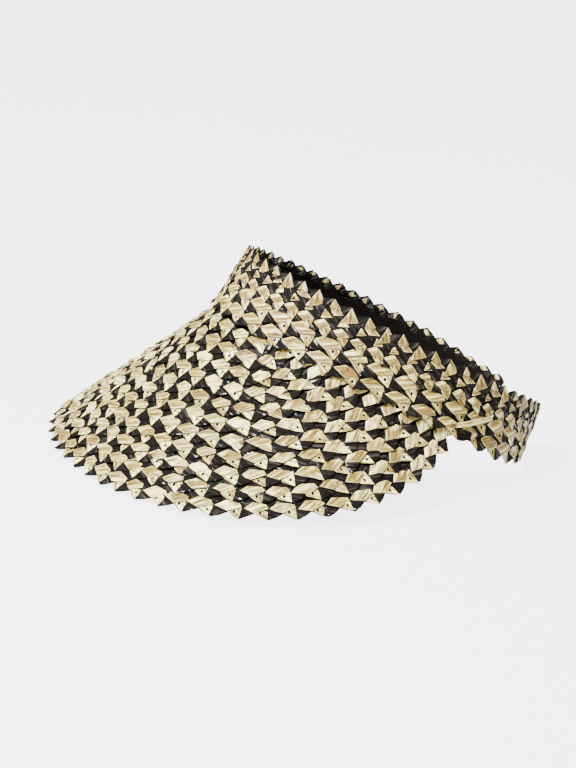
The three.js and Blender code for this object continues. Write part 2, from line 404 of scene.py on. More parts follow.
def moved_inward(curve, distance):
    """Moves every place of a curve over the surface towards the crown, square to the curve."""
    along = normalised(np.gradient(curve_points(curve), axis=0))
    per_angle, per_down, outward = surface_frame(curve[:, 0], curve[:, 1])
    inward = normalised(np.cross(outward, along))
    aa = (per_angle * per_angle).sum(-1)
    ad = (per_angle * per_down).sum(-1)
    dd = (per_down * per_down).sum(-1)
    a = (inward * per_angle).sum(-1)
    d = (inward * per_down).sum(-1)
    scale = distance / (aa * dd - ad * ad)
    return curve + np.stack([scale * (dd * a - ad * d), scale * (aa * d - ad * a)], -1)


def clipped(curve):
    """Cuts a curve where it rises above the tuck line under the last crown row."""
    below = np.nonzero(curve[:, 1] >= BRIM_TUCK_LINE)[0]
    first, last = below[0], below[-1]
    kept = curve[first : last + 1]
    ends = []
    for inside, outside in ((first, first - 1), (last, last + 1)):
        if 0 <= outside < len(curve):
            share = (BRIM_TUCK_LINE - curve[inside, 1]) / (curve[outside, 1] - curve[inside, 1])
            ends.append(lerp(curve[inside], curve[outside], share)[None])
        else:
            ends.append(curve[:0])
    return np.concatenate([ends[0], kept, ends[1]])


def rim_curve():
    reach = math.radians(BRIM_HALF_ANGLE + RIM_OVERREACH)
    phi = np.linspace(-reach, reach, RIM_STATIONS)
    share = np.abs(phi) / math.radians(BRIM_HALF_ANGLE)
    return clipped(np.stack([phi, BAND_LENGTH + BRIM_WIDTH * (1 - share**BRIM_OUTLINE_POWER)], -1))


def parallel_curve(curve, distance):
    steps = round(distance / MARCH_STEP)
    for _ in range(steps):
        curve = clipped(moved_inward(curve, distance / steps))
        length = running_length(curve_points(curve))[-1]
        curve = respaced(curve, max(round(length / CURVE_SPACING), LEAST_STATIONS))
    return curve


# Guides: at each station the lower, middle and upper place across the row, and their distance down

Guide = namedtuple("Guide", "places heights teeth")
ACROSS = (0.0, 0.5, 1.0)


def crown_guide(row):
    teeth = round(fine_angles(row.end_angle)[1][-1] / row.tooth_pitch)
    phi = even_angles(row.end_angle, GUIDE_STEPS_PER_TOOTH * teeth + 1)
    places = [np.stack([phi, tapered(phi, lerp(row.bottom, row.top, share))], -1) for share in ACROSS]
    return Guide(places, [row.lift * (1 - share) for share in ACROSS], teeth)


def brim_guides():
    """Guides of the brim's rows, from the innermost to the rim."""
    lift = LAYER * BRIM_ROW_WIDTH / BRIM_ROW_PITCH
    heights = [lift * (1 - share) - BRIM_SINK for share in ACROSS]
    guides = []
    edge = rim_curve()
    for _ in range(BRIM_ROWS):
        teeth = round(running_length(curve_points(edge))[-1] / BRIM_TOOTH_PITCH)
        path = [respaced(edge, GUIDE_STEPS_PER_TOOTH * teeth + 1)]
        for _ in range(ACROSS_STEPS):
            path.append(moved_inward(path[-1], BRIM_ROW_WIDTH / ACROSS_STEPS))
        guides.append(Guide([path[0], path[ACROSS_STEPS // 2], path[-1]], heights, teeth))
        edge = parallel_curve(edge, BRIM_ROW_PITCH)
    return guides[::-1]


# Meshes


def linked(name, data):
    made = bpy.data.objects.new(name, data)
    bpy.context.scene.collection.objects.link(made)
    return made


def new_object(name, vertices, faces, edges=()):
    mesh = bpy.data.meshes.new(name)
    mesh.from_pydata([tuple(v) for v in vertices], edges, faces)
    return linked(name, mesh)


def set_attributes(mesh, domain, kind, **values):
    field = "vector" if kind in {"FLOAT_VECTOR", "FLOAT2"} else "value"
    for name, value in values.items():
        mesh.attributes.new(name, kind, domain).data.foreach_set(field, np.asarray(value).ravel())


def plate_border(part):
    """The plate's corners, with a point in the middle of every long side, bowed outwards."""
    corners = np.array(part.corners, float)
    after = np.roll(corners, -1, 0)
    if (corners[:, 0] * after[:, 1] - after[:, 0] * corners[:, 1]).sum() < 0:
        corners = corners[::-1]
        after = np.roll(corners, -1, 0)
    points = []
    for corner, side in zip(corners, after - corners):
        points.append(corner)
        if np.linalg.norm(side) > LONG_SIDE:
            points.append(corner + side / 2 + np.array([side[1], -side[0]]) * part.bow)
    return np.array(points)


def plate_mesh(part, under, width):
    """Vertices, faces, count of smooth faces and nearness to the border for one plate, domed on top."""
    border = plate_border(part)
    size = len(border)
    core = np.repeat(border.mean(0)[None], size, 0)
    rings = list(UNDER_RINGS if under else PLATE_RINGS)
    if part.hole:
        place, reach = np.array(part.hole[:2]), np.array(part.hole[2:])
        core = place + reach * normalised(border - place)
        rings.append(HOLE_RING)
    top = part.base + STRAW_THICKNESS * (not under)
    points, near = [], []

    def add_ring(outline, height, nearness):
        points.append(np.column_stack([outline, np.full(len(outline), height)]))
        near.extend([nearness] * len(outline))

    for out, rise, nearness in rings:
        add_ring(lerp(core, border, out), top + part.rise * rise, nearness)
    add_ring(border, part.base - UNDER_SINK * under, 1.0)
    if part.hole:
        add_ring(core, part.base, 1.0)
    else:
        add_ring(core[:1], top + part.rise, 0.0)
    last, bottom = len(rings) - 1, len(rings)
    number = np.arange(size * (bottom + 1)).reshape(-1, size)
    middle = number[-1, -1] + 1
    smooth, sharp = [], []
    for i in range(size):
        j = (i + 1) % size
        for ring in range(last):
            smooth.append((number[ring, i], number[ring, j], number[ring + 1, j], number[ring + 1, i]))
        sharp.append((number[bottom, i], number[bottom, j], number[0, j], number[0, i]))
        if part.hole:
            sharp.append((number[last, i], number[last, j], middle + j, middle + i))
            sharp.append((number[bottom, j], number[bottom, i], middle + i, middle + j))
        else:
            smooth.append((number[last, i], number[last, j], middle))
    if not part.hole:
        sharp.append(tuple(number[bottom, ::-1]))
    vertices = np.concatenate(points)
    if under:
        vertices[:, 1] = width - vertices[:, 1]
        vertices[:, 2] = -BACKING - vertices[:, 2]
    return vertices, smooth + sharp, len(smooth), near


def varied(plates, draw):
    """The plates with their corners a little moved, and the hole moved or left out."""
    made = []
    for part in plates:
        corners = np.array(part.corners) + draw.uniform(-CORNER_SLIP, CORNER_SLIP, (len(part.corners), 2))
        hole = part.hole
        if hole:
            share = draw.uniform(*HOLE_SIZES)
            place = np.array(hole[:2]) * (1 + draw.uniform(-1, 1, 2) * HOLE_SLIP)
            hole = (*place, hole[2] * share, hole[3] * share) if share > LEAST_HOLE else None
        made.append(part._replace(corners=tuple(map(tuple, corners)), hole=hole))
    return made


def unit_kinds(name, unit_pitch, width, tables, under):
    """The kinds of unit that a row is laid from, each made from one of the tables by turns."""
    draw = np.random.RandomState(UNIT_SEEDS[name])
    kinds = []
    for kind in range(UNIT_KINDS):
        top = varied(tables[kind % len(tables)], draw)
        kinds.append(unit_object(f"{name}_{kind}", unit_pitch, width, top, under))
    return kinds


def unit_object(name, unit_pitch, width, top, under):
    """A unit of plates in one mesh, with the facts that the rows' nodes and the materials read."""
    vertices, faces, numbers, centres, borders, shades, dyed, sharp, uvs = ([] for _ in range(9))
    for number, (part, below) in enumerate([(p, False) for p in top] + [(p, True) for p in under]):
        points, own_faces, smooth, border = plate_mesh(part, below, width)
        start, count = len(vertices), len(points)
        vertices.extend(points)
        faces.extend(tuple(int(v) + start for v in face) for face in own_faces)
        numbers += [number] * count
        centres += [(*points[:, :2].mean(0), 0.0)] * count
        borders += border
        shades += [part.shade] * count
        dyed += [part.dyed] * len(own_faces)
        sharp += [i >= smooth for i in range(len(own_faces))]
        grain = math.radians(-part.grain if below else part.grain)
        turned = np.array([[-math.sin(grain), math.cos(grain)], [math.cos(grain), math.sin(grain)]])
        uvs.extend(turned @ points[v, :2] for face in own_faces for v in face)
    made = new_object(name, vertices, faces)
    set_attributes(made.data, "POINT", "INT", plate_number=numbers)
    set_attributes(made.data, "POINT", "FLOAT_VECTOR", plate_centre=centres)
    set_attributes(made.data, "POINT", "FLOAT", border=borders, shade=shades)
    set_attributes(made.data, "FACE", "BOOLEAN", dyed=dyed, sharp_face=sharp)
    set_attributes(made.data, "CORNER", "FLOAT2", strand=uvs)
    made.hide_render = True
    made["unit_pitch"] = unit_pitch
    return made


# Node trees


def in_use(sockets, name=None):
    return next(socket for socket in sockets if socket.enabled and name in (None, socket.name))


def add_node(tree, kind, values=None, **settings):
    """A node with its settings, its inputs filled with values or linked to other nodes' outputs."""
    made = tree.nodes.new(kind)
    for key, value in settings.items():
        setattr(made, key, value)
    for key, value in (values or {}).items():
        socket = made.inputs[key] if isinstance(key, int) else in_use(made.inputs, key)
        if isinstance(value, bpy.types.NodeSocket):
            tree.links.new(value, socket)
        else:
            socket.default_value = value
    return made


def output(tree, kind, values=None, name=None, **settings):
    """An output of a new node: the one with this name, or else the first in use."""
    return in_use(add_node(tree, kind, values, **settings).outputs, name)


def math_node(tree, operation, *values, clamp=False):
    return output(tree, "ShaderNodeMath", dict(enumerate(values)), operation=operation, use_clamp=clamp)


def vector_node(tree, operation, *values):
    """A vector sum, whose second value goes to the scale input where it scales."""
    places = (0, 3) if operation == "SCALE" else (0, 1)
    return output(tree, "ShaderNodeVectorMath", dict(zip(places, values)), operation=operation)


def combined(tree, axis, value):
    return output(tree, "ShaderNodeCombineXYZ", {axis: value})


def named_attribute(tree, name, kind):
    return output(tree, "GeometryNodeInputNamedAttribute", {"Name": name}, "Attribute", data_type=kind)


def stored(tree, geometry, name, value, kind, domain="POINT"):
    values = {"Geometry": geometry, "Name": name, "Value": value}
    return output(tree, "GeometryNodeStoreNamedAttribute", values, data_type=kind, domain=domain)


def random_value(tree, kind, low, high, identity, seed):
    values = {"Min": low, "Max": high, "ID": identity, "Seed": seed}
    return output(tree, "FunctionNodeRandomValue", values, data_type=kind)


ROW_INPUTS = (
    ("Guide", "Geometry"),
    *((f"Unit {kind + 1}", "Object") for kind in range(UNIT_KINDS)),
    ("Mixed", "Float"),
    ("Backing", "Object"),
    ("Teeth", "Int"),
    ("Unit Pitch", "Float"),
    ("Row Width", "Float"),
    ("Looseness", "Float"),
    ("Wander", "Float"),
    ("Twist", "Float"),
    ("Lean", "Float"),
    ("Shade", "Float"),
    ("Trim Line", "Float"),
    ("Seed", "Int"),
    ("Straw", "Material"),
    ("Dyed Straw", "Material"),
)


def across_row(tree, share, lower, middle, upper):
    """The point at a share of the way across a row, on a parabola through three points."""
    double = math_node(tree, "MULTIPLY", share, 2.0)
    rest = math_node(tree, "SUBTRACT", 1.0, share)
    weights = (
        math_node(tree, "MULTIPLY", rest, math_node(tree, "SUBTRACT", 1.0, double)),
        math_node(tree, "MULTIPLY", rest, math_node(tree, "MULTIPLY", double, 2.0)),
        math_node(tree, "MULTIPLY", share, math_node(tree, "SUBTRACT", double, 1.0)),
    )
    parts = [vector_node(tree, "SCALE", v, w) for v, w in zip((lower, middle, upper), weights)]
    return vector_node(tree, "ADD", vector_node(tree, "ADD", parts[0], parts[1]), parts[2])


def laid_units(tree, given):
    """The units in a line, taken by turns or mixed at random, with the number of each tooth."""
    index = output(tree, "GeometryNodeInputIndex")
    step = combined(tree, "X", given["Unit Pitch"])
    line = output(tree, "GeometryNodeMeshLine", {"Count": given["Teeth"], "Offset": step}, mode="OFFSET")
    units = add_node(tree, "GeometryNodeJoinGeometry")
    for kind in range(UNIT_KINDS):
        values = {"Object": given[f"Unit {kind + 1}"], "As Instance": True}
        tree.links.new(output(tree, "GeometryNodeObjectInfo", values, "Geometry"), units.inputs[0])
    drawn = random_value(tree, "FLOAT", 0.0, float(UNIT_KINDS), index, given["Seed"])
    drawn = math_node(tree, "MULTIPLY", math_node(tree, "FLOOR", drawn), given["Mixed"])
    kind = math_node(tree, "MODULO", math_node(tree, "ADD", index, drawn), float(UNIT_KINDS))
    values = {"Points": line, "Instance": units.outputs[0], "Pick Instance": True, "Instance Index": kind}
    row = output(tree, "GeometryNodeInstanceOnPoints", values)
    row = stored(tree, row, "tooth_number", index, "INT", "INSTANCE")
    return output(tree, "GeometryNodeRealizeInstances", {"Geometry": row})


def loosened(tree, given, row):
    """The row with every plate's tone, the plates' middles, and the places that they are loosened to."""
    tooth = named_attribute(tree, "tooth_number", "INT")
    plate_number = named_attribute(tree, "plate_number", "INT")
    identity = math_node(tree, "MULTIPLY_ADD", tooth, PLATES_PER_TOOTH, plate_number)

    def drawn(order, kind, low, high):
        seed = math_node(tree, "ADD", given["Seed"], float(order))
        return random_value(tree, kind, low, high, identity, seed)

    tone = math_node(tree, "ADD", drawn(0, "FLOAT", 0.0, 1.0), named_attribute(tree, "shade", "FLOAT"))
    row = stored(tree, row, "tone", math_node(tree, "ADD", tone, given["Shade"], clamp=True), "FLOAT")
    start = combined(tree, "X", math_node(tree, "MULTIPLY", tooth, given["Unit Pitch"]))
    centre = vector_node(tree, "ADD", named_attribute(tree, "plate_centre", "FLOAT_VECTOR"), start)
    turn = drawn(1, "FLOAT", math_node(tree, "MULTIPLY", given["Twist"], -1.0), given["Twist"])
    values = {"Vector": output(tree, "GeometryNodeInputPosition"), "Center": centre, "Angle": turn}
    place = output(tree, "ShaderNodeVectorRotate", values, rotation_type="Z_AXIS")
    offset = vector_node(tree, "SUBTRACT", place, centre)
    values = {"Vector": centre, "W": given["Seed"], "Scale": 1 / WANDER_LENGTH, "Detail": 1.0}
    drift = output(tree, "ShaderNodeTexNoise", values, "Color", noise_dimensions="4D")
    drift = vector_node(tree, "MULTIPLY", vector_node(tree, "SUBTRACT", drift, (0.5, 0.5, 0.5)), DRIFT)
    leaned = vector_node(tree, "DOT_PRODUCT", offset, drawn(4, "FLOAT_VECTOR", *LEAN))
    moves = (
        vector_node(tree, "MULTIPLY", offset, drawn(2, "FLOAT_VECTOR", *STRETCH)),
        vector_node(tree, "SCALE", drawn(3, "FLOAT_VECTOR", *SLIP), given["Looseness"]),
        combined(tree, "Z", math_node(tree, "MULTIPLY", leaned, given["Lean"])),
        vector_node(tree, "SCALE", drift, given["Wander"]),
    )
    place = centre
    for move in moves:
        place = vector_node(tree, "ADD", place, move)
    return row, centre, place


def bent(tree, given, centre, place):
    """The places bent onto the guide, and whether a plate lies past the guide's end or over the trim line."""
    guide = output(tree, "GeometryNodeMeshToCurve", {"Mesh": given["Guide"]})
    total = math_node(tree, "MULTIPLY", given["Unit Pitch"], given["Teeth"])

    def sampled(name, factor, wanted="Value"):
        values = {"Curves": guide, "Value": named_attribute(tree, name, "FLOAT_VECTOR"), "Factor": factor}
        kind = {"mode": "FACTOR", "data_type": "FLOAT_VECTOR"}
        return output(tree, "GeometryNodeSampleCurve", values, wanted, **kind)

    def shares(point):
        x, y, z = add_node(tree, "ShaderNodeSeparateXYZ", {0: point}).outputs
        along = math_node(tree, "DIVIDE", x, total, clamp=True)
        return along, math_node(tree, "DIVIDE", y, given["Row Width"]), x, z

    along, across, x, z = shares(place)
    lower = sampled("upper", along, "Position")
    middle, upper = sampled("middle", along), sampled("upper", along)
    beyond = math_node(tree, "SUBTRACT", x, math_node(tree, "MULTIPLY", along, total))
    beyond = math_node(tree, "MULTIPLY", beyond, MM)
    values = {"Factor": across, "A": sampled("outward_lower", along), "B": sampled("outward_upper", along)}
    outward = output(tree, "ShaderNodeMix", values, data_type="VECTOR", clamp_factor=False)
    outward = vector_node(tree, "NORMALIZE", outward)
    raised = vector_node(tree, "SCALE", outward, math_node(tree, "MULTIPLY", z, MM))
    over = vector_node(tree, "ADD", across_row(tree, across, lower, middle, upper), raised)
    tangent = vector_node(tree, "SCALE", sampled("upper", along, "Tangent"), beyond)

    along, across, x, _ = shares(centre)
    depths = add_node(tree, "ShaderNodeSeparateXYZ", {0: sampled("depths", along)}).outputs
    depth = across_row(tree, across, *(combined(tree, "X", own) for own in depths))
    depth = output(tree, "ShaderNodeSeparateXYZ", {0: depth})
    tucked = math_node(tree, "LESS_THAN", depth, given["Trim Line"])
    past = math_node(tree, "GREATER_THAN", x, total)
    return vector_node(tree, "ADD", over, tangent), math_node(tree, "MAXIMUM", tucked, past)


def row_tree():
    """Lays units of straw plates in a line, loosens them a little, and bends the line onto the guide."""
    tree = bpy.data.node_groups.new("plait_row", "GeometryNodeTree")
    for name, kind in ROW_INPUTS:
        tree.interface.new_socket(name, in_out="INPUT", socket_type=f"NodeSocket{kind}")
    tree.interface.new_socket("Row", in_out="OUTPUT", socket_type="NodeSocketGeometry")
    given = add_node(tree, "NodeGroupInput").outputs
    row, centre, place = loosened(tree, given, laid_units(tree, given))
    place, hidden = bent(tree, given, centre, place)
    row = stored(tree, row, "hidden", hidden, "BOOLEAN")
    row = output(tree, "GeometryNodeSetPosition", {"Geometry": row, "Position": place})
    values = {"Geometry": row, "Selection": named_attribute(tree, "hidden", "BOOLEAN")}
    row = output(tree, "GeometryNodeDeleteGeometry", values, domain="POINT")
    joined_row = add_node(tree, "GeometryNodeJoinGeometry")
    backing = output(tree, "GeometryNodeObjectInfo", {"Object": given["Backing"]}, "Geometry")
    for geometry in (backing, row):
        tree.links.new(geometry, joined_row.inputs[0])
    row = output(tree, "GeometryNodeRealizeInstances", {"Geometry": joined_row.outputs[0]})
    row = output(tree, "GeometryNodeSetMaterial", {"Geometry": row, "Material": given["Straw"]})
    dyed = named_attribute(tree, "dyed", "BOOLEAN")
    values = {"Geometry": row, "Selection": dyed, "Material": given["Dyed Straw"]}
    row = output(tree, "GeometryNodeSetMaterial", values)
    add_node(tree, "NodeGroupOutput", {0: row})
    return tree


# Rows


def guide_points(guide, side):
    place = guide.places[side]
    height = np.full(len(place), guide.heights[side] + GUIDE_LIFT)
    return placed(raised_point(place[:, 0], place[:, 1], height))


def guide_outward(guide, side):
    place = guide.places[side]
    return normalised(tilted(surface_frame(place[:, 0], place[:, 1])[2]))


def place_across(guide, share):
    """Places and heights at a share of the way across a row, one share for each station."""
    low, mid, high = guide.places
    share = np.asarray(share, float)[:, None]
    rest = 1 - share
    place = low * rest * (1 - 2 * share) + mid * 4 * share * rest + high * share * (2 * share - 1)
    return place, lerp(guide.heights[0], guide.heights[2], share[:, 0])


def tooth_wave(stations, phase):
    """0 at the tips and 1 in the notches, along the stations of a row."""
    along = np.arange(stations) / GUIDE_STEPS_PER_TOOTH - phase
    return 1 - np.abs(2 * (along % 1) - 1)


def strip_object(name, guide, lower, upper, low_height, high_height, across=3, dyed=True):
    """Closed strip along a guide, between two shares of the way across it."""
    sections = []
    for height in (high_height, low_height):
        for k in range(across):
            place, own = place_across(guide, lerp(upper, lower, k / (across - 1)))
            sections.append(placed(raised_point(place[:, 0], place[:, 1], own + height)))
    points = np.stack(sections[:across] + sections[across:][::-1], 1)
    stations, size = points.shape[:2]
    faces = []
    for i in range(0, (stations - 1) * size, size):
        for j in range(size):
            after = (j + 1) % size
            faces.append((i + j, i + after, i + size + after, i + size + j))
    last = (stations - 1) * size
    for j in range(across - 1):
        faces.append((j, size - 1 - j, size - 2 - j, j + 1))
        faces.append((last + j, last + j + 1, last + size - 2 - j, last + size - 1 - j))
    made = new_object(name, points.reshape(-1, 3), faces)
    corners, sides = points.shape[0] * size, len(faces)
    set_attributes(made.data, "FACE", "BOOLEAN", dyed=[dyed] * sides, sharp_face=[False] * sides)
    set_attributes(made.data, "POINT", "FLOAT", border=[float(dyed)] * corners, tone=[STRIP_TONE] * corners)
    along = running_length(points[:, 0]) / MM
    uvs = [(v % size * STRIP_STRAND, along[v // size]) for face in faces for v in face]
    set_attributes(made.data, "CORNER", "FLOAT2", strand=uvs)
    return made


def joined(first, second):
    """Adds the second strip's mesh to the first's and removes the second."""
    both = [first, second]
    chosen = {"selected_objects": both, "selected_editable_objects": both}
    with bpy.context.temp_override(object=first, active_object=first, **chosen):
        bpy.ops.object.join()
    return first


def with_rib(backing, guide, upper):
    """A black rib along the row's hidden upper edge, which the row above it lies on."""
    low, high = GUIDE_LIFT - BACKING, GUIDE_LIFT + RIB_HEIGHT
    rib = strip_object("rib", guide, upper - RIB_WIDTH, upper, low, high, 2)
    return joined(backing, rib)


def with_seam(backing, guide, row):
    """The seam under the last crown row that takes the brim's upper edge."""
    near = np.abs(guide.places[0][:, 0]) <= math.radians(SEAM_ANGLE)
    short = Guide([place[near] for place in guide.places], guide.heights, 0)
    low, high = ((row.bottom - down) / (row.bottom - row.top) for down in (SEAM_BOTTOM, SEAM_TOP))
    ones = np.ones(near.sum())
    seam = strip_object("seam", short, ones * low, ones * high, -SEAM_DEPTH, GUIDE_LIFT - BACKING, 2)
    return joined(backing, seam)


def with_loose_strands(backing):
    """The straws that lie over the plait of the near arm, each along a slanting line."""
    for strand in LOOSE_STRANDS:
        phi = np.radians(np.linspace(strand.start_angle, strand.end_angle, LOOSE_STATIONS))
        down = np.linspace(strand.start_down, strand.end_down, LOOSE_STATIONS)
        places = [np.stack([phi, down + strand.half_width * side], -1) for side in (1, 0, -1)]
        arch = strand.height + LOOSE_ARCH * np.sin(np.linspace(0, math.pi, LOOSE_STATIONS))
        guide = Guide(places, [0, 0, 0], 0)
        ends = np.zeros(LOOSE_STATIONS)
        piece = strip_object("loose", guide, ends, ends + 1, arch - STRAW_THICKNESS, arch, 3, strand.dyed)
        backing = joined(backing, piece)
    return backing


def backing_top(guide):
    """Share of the way across the row at which each station meets the tuck line."""
    shares = np.linspace(0, 1, TUCK_STATIONS)
    stations = len(guide.places[0])
    down = np.stack([place_across(guide, np.full(stations, share))[0][:, 1] for share in shares])
    above = down < BRIM_TUCK_LINE
    return np.where(above.any(0), shares[above.argmax(0)], 1.0)


def made_plain(made):
    """Turns the evaluated result into the object's own mesh and removes the modifier."""
    graph = bpy.context.evaluated_depsgraph_get()
    result = made.evaluated_get(graph)
    mesh = bpy.data.meshes.new_from_object(result, preserve_all_data_layers=True, depsgraph=graph)
    made.modifiers.clear()
    made.data = mesh
    mesh.name = made.name


def seated(piece, node):
    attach(piece, "root")
    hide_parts(node)


def plait_row(name, node, guide, units, mixed, width, trim, backing, shade, seed):
    """One row's piece: units of plates bent onto its guide, over a thin backing."""
    plait = bpy.context.scene.visor_plait
    edge = guide_points(guide, 0)
    made = new_object(name, edge, [], [(i, i + 1) for i in range(len(edge) - 1)])
    set_attributes(
        made.data, "POINT", "FLOAT_VECTOR",
        middle=guide_points(guide, 1), upper=guide_points(guide, 2),
        outward_lower=guide_outward(guide, 0), outward_upper=guide_outward(guide, 2),
        depths=np.stack([place[:, 1] for place in guide.places], -1),
    )
    modifier = made.modifiers.new("plait", "NODES")
    modifier.node_group = bpy.data.node_groups.get("plait_row") or row_tree()
    values = {
        **{f"Unit {kind + 1}": unit for kind, unit in enumerate(units)},
        "Mixed": float(mixed),
        "Backing": backing,
        "Teeth": guide.teeth,
        "Unit Pitch": units[0]["unit_pitch"],
        "Row Width": width,
        "Looseness": plait.looseness / MM,
        "Wander": plait.wander / MM,
        "Twist": plait.twist,
        "Lean": math.tan(plait.lean),
        "Shade": shade,
        "Trim Line": trim,
        "Seed": plait.seed + seed,
        "Straw": straw_material(),
        "Dyed Straw": dyed_material(),
    }
    for item in modifier.node_group.interface.items_tree:
        if item.name in values:
            modifier[item.identifier] = values[item.name]
    made_plain(made)
    bpy.data.objects.remove(backing)
    seated(made, node)


# Materials


def fibre_group():
    """Streaks along a strand, slow blotches over it and their height, each plate with its own."""
    group = bpy.data.node_groups.get("strand_fibres")
    if group:
        return group
    group = bpy.data.node_groups.new("strand_fibres", "ShaderNodeTree")
    for name, kind in (("Strand", "Vector"), ("Tone", "Float"), ("Fineness", "Float")):
        group.interface.new_socket(name, in_out="INPUT", socket_type=f"NodeSocket{kind}")
    for name in ("Streak", "Band", "Crease", "Blotch", "Height"):
        group.interface.new_socket(name, in_out="OUTPUT", socket_type="NodeSocketFloat")
    given = add_node(group, "NodeGroupInput").outputs
    shift = math_node(group, "MULTIPLY", given["Tone"], STRAND_SHIFT)

    def noise(across, along, detail, roughness):
        scale = output(group, "ShaderNodeCombineXYZ", {"X": across, "Y": along, "Z": 1.0})
        stretched = vector_node(group, "MULTIPLY", given["Strand"], scale)
        values = {"Vector": stretched, "W": shift, "Scale": 1.0, "Detail": detail, "Roughness": roughness}
        return output(group, "ShaderNodeTexNoise", values, noise_dimensions="4D")

    streak = noise(given["Fineness"], 0.12, 3.0, 0.65)
    band = noise(0.6, 0.06, 1.5, 0.5)
    blotch = noise(0.2, 0.14, 2.0, 0.5)
    middle = math_node(group, "ABSOLUTE", math_node(group, "SUBTRACT", noise(0.34, 0.035, 0.0, 0.5), 0.5))
    crease = spread(group, middle, 0.0, 0.035, 1.0, 0.0)
    height = math_node(group, "MULTIPLY_ADD", streak, 0.4, math_node(group, "MULTIPLY", band, 0.6))
    height = math_node(group, "SUBTRACT", height, math_node(group, "MULTIPLY", crease, 0.25))
    outcome = {"Streak": streak, "Band": band, "Crease": crease, "Blotch": blotch, "Height": height}
    add_node(group, "NodeGroupOutput", outcome)
    return group


def new_material(name):
    made = bpy.data.materials.new(name)
    made.use_nodes = True
    made.node_tree.nodes.clear()
    return made, made.node_tree


def shade_with(tree, values):
    """Gives a material its shader, with these values or outputs in its inputs."""
    shader = add_node(tree, "ShaderNodeBsdfPrincipled", values)
    add_node(tree, "ShaderNodeOutputMaterial", {"Surface": shader.outputs[0]})


def paint(name, brightness=1.0):
    colour = getattr(bpy.context.scene.visor_colours, name)
    return (*(share * brightness for share in colour), 1.0)


def colour_ramp(tree, factor, stops):
    made = add_node(tree, "ShaderNodeValToRGB", {"Fac": factor})
    elements = made.color_ramp.elements
    while len(elements) < len(stops):
        elements.new(0.5)
    for element, (position, colour) in zip(elements, stops):
        element.position = position
        element.color = colour
    return made.outputs["Color"]


def mixed_colours(tree, factor, a, b):
    return output(tree, "ShaderNodeMix", {"Factor": factor, "A": a, "B": b}, data_type="RGBA")


def spread(tree, value, low, high, to_low, to_high):
    values = {"Value": value, "From Min": low, "From Max": high, "To Min": to_low, "To Max": to_high}
    return output(tree, "ShaderNodeMapRange", values)


def layered(tree, base, layers):
    """The base with colours over it, each by its mask: where this starts, where it is full, and its share."""
    for mask, start, full, share, colour in layers:
        base = mixed_colours(tree, spread(tree, mask, start, full, 0.0, share), base, colour)
    return base


def bump(tree, height, strength, distance):
    return output(tree, "ShaderNodeBump", {"Height": height, "Strength": strength, "Distance": distance})


def strand_places(tree):
    return output(tree, "ShaderNodeUVMap", uv_map="strand")


def plate_fact(tree, name):
    return output(tree, "ShaderNodeAttribute", name="Fac", attribute_name=name, attribute_type="GEOMETRY")


def fibres(tree, fineness):
    values = {"Strand": strand_places(tree), "Tone": plate_fact(tree, "tone"), "Fineness": fineness}
    return add_node(tree, "ShaderNodeGroup", values, node_tree=fibre_group()).outputs


def straw_material():
    made = bpy.data.materials.get("natural_straw")
    if made:
        return made
    made, tree = new_material("natural_straw")
    fibre = fibres(tree, 2.4)
    cream, pale_and_highlight, tan, rose, grain_and_shade = (paint(name) for name in ("cream", "pale_and_highlight", "tan", "rose", "grain_and_shade"))
    stops = [(0.0, pale_and_highlight), (0.25, cream), (0.6, cream), (0.8, tan), (0.93, tan), (1.0, rose)]
    edge = plate_fact(tree, "border")
    layers = (
        (fibre["Blotch"], 0.5, 0.66, 0.85, tan),
        # Lighter bands along the fibres, which also stand in for glossy highlights as painted highlight
        (fibre["Band"], 0.5, 0.64, 0.7, pale_and_highlight),
        (fibre["Band"], 0.48, 0.38, 0.5, tan),
        (fibre["Blotch"], 0.44, 0.34, 0.6, pale_and_highlight),
        (fibre["Streak"], 0.46, 0.3, 0.7, grain_and_shade),
        (fibre["Band"], 0.4, 0.3, 0.6, grain_and_shade),
        # Painted shade: the strands darker along their creases
        (fibre["Crease"], 0.0, 1.0, 0.7, grain_and_shade),
        # Painted highlight: a lighter rim just inside each plate's border
        (edge, 0.4, 0.7, 0.3, pale_and_highlight),
        # Painted shadow along each plate's border and sides, where the gaps between plates lie, together with
        # the dark cut edges
        (edge, 0.76, 0.84, 1.0, grain_and_shade),
    )
    shader_values = {
        "Base Color": layered(tree, colour_ramp(tree, plate_fact(tree, "tone"), stops), layers),
        "Roughness": spread(tree, fibre["Streak"], 0.3, 0.7, 0.5, 0.34),
        "Coat Weight": spread(tree, fibre["Band"], 0.48, 0.58, 0.0, 0.5),
        "Coat Roughness": 0.32,
        "Specular IOR Level": 0.22,
        "Normal": bump(tree, fibre["Height"], 1.0, 0.002),
    }
    shade_with(tree, shader_values)
    return made


def dyed_material():
    made = bpy.data.materials.get("dyed_straw")
    if made:
        return made
    made, tree = new_material("dyed_straw")
    fibre = fibres(tree, 2.0)
    layers = (
        (fibre["Streak"], 0.4, 0.72, 1.0, paint("dyed", 3.5)),
        # Painted glints: lighter streaks along the fibre bands and creases of the black strands, in part worn
        # dye
        (fibre["Band"], 0.58, 0.66, 0.9, paint("wear_and_glint")),
        (fibre["Crease"], 0.0, 1.0, 0.5, paint("wear_and_glint")),
    )
    shader_values = {
        "Base Color": layered(tree, paint("dyed"), layers),
        "Roughness": spread(tree, fibre["Band"], 0.35, 0.65, 0.8, 0.6),
        "Coat Weight": spread(tree, fibre["Band"], 0.56, 0.6, 0.0, 0.4),
        "Coat Roughness": 0.16,
        "Specular IOR Level": 0.05,
        "Normal": bump(tree, fibre["Height"], 1.0, 0.0016),
    }
    shade_with(tree, shader_values)
    return made


